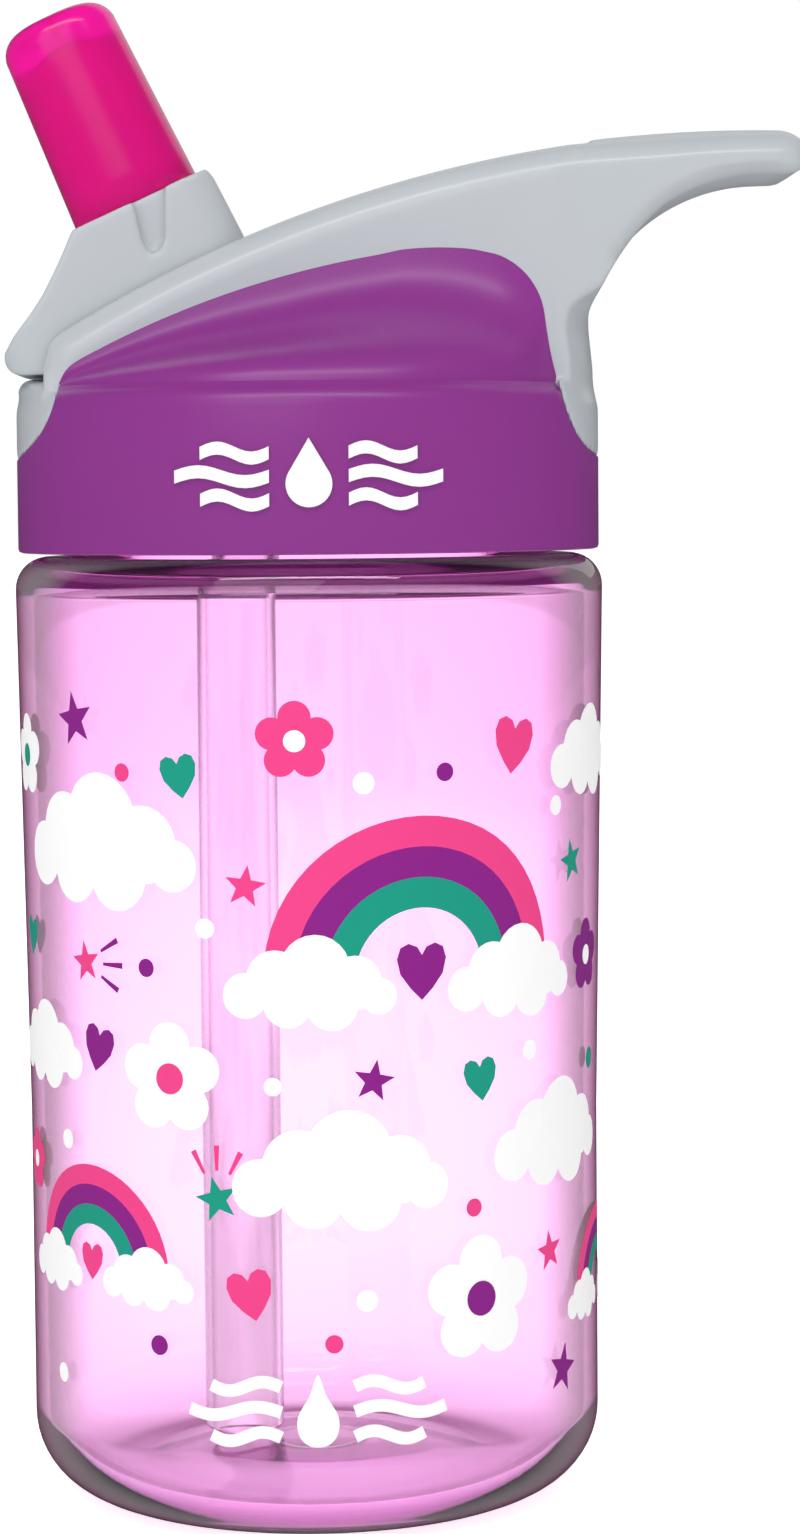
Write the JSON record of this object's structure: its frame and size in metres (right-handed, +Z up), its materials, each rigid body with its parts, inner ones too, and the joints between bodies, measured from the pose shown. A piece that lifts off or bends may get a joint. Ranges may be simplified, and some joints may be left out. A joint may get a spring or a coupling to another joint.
{
  "type": "kids water bottle",
  "caption": "Clear flip-straw drinking bottle for a child, with a screw cap, tilting spout, bite valve, straw and hooked carry handle.",
  "frame": {"origin": "centre of the bottle's base, on the ground that it stands on", "axes": "+Z up along the bottle's axis, +X towards the carry handle, -X towards the drinking side, +Y to the left of the handle"},
  "size_m": [0.0983, 0.0731, 0.1852],
  "materials": {
    "tinted_copolyester": "clear, tinted pink, glossy",
    "clear_silicone": "matte",
    "purple_shell": "moulded, semi-gloss",
    "inner_plastic": "moulded, matte",
    "grey_plastic": "moulded, semi-gloss",
    "white_emblem": "semi-gloss",
    "clear_straw": "clear, satin",
    "pink_silicone": "satin, slightly see-through"
  },
  "bodies": {
    "bottle": {"bottle": "tinted_copolyester"},
    "seal_ring": {"cap_gasket": "clear_silicone"},
    "cap": {"cap_shell": "purple_shell", "inner_cap": "inner_plastic", "handle_frame": "grey_plastic", "cap_badge": "white_emblem", "spout_seal": "clear_silicone", "vent_valve": "clear_silicone", "straw": "clear_straw"},
    "spout": {"spout": "grey_plastic", "bite_valve": "pink_silicone"}
  },
  "joints": [
    {"name": "cap_lift", "type": "slide", "parent": "bottle", "child": "seal_ring", "axis": [0, 0, 1], "range_m": [0, 0.0061]},
    {"name": "cap_turn", "type": "hinge", "parent": "seal_ring", "child": "cap", "pos_m": [0, 0, 0.13], "axis": [0, 0, 1], "range_deg": [0, 540]},
    {"name": "spout_flip", "type": "hinge", "parent": "cap", "child": "spout", "pos_m": [-0.012, 0, 0.141], "axis": [0, 1, 0], "range_deg": [0, 90]}
  ],
  "couplings": [
    {"joint": "cap_lift", "follows": "cap_turn", "m_per_rad": 0.00063662}
  ]
}
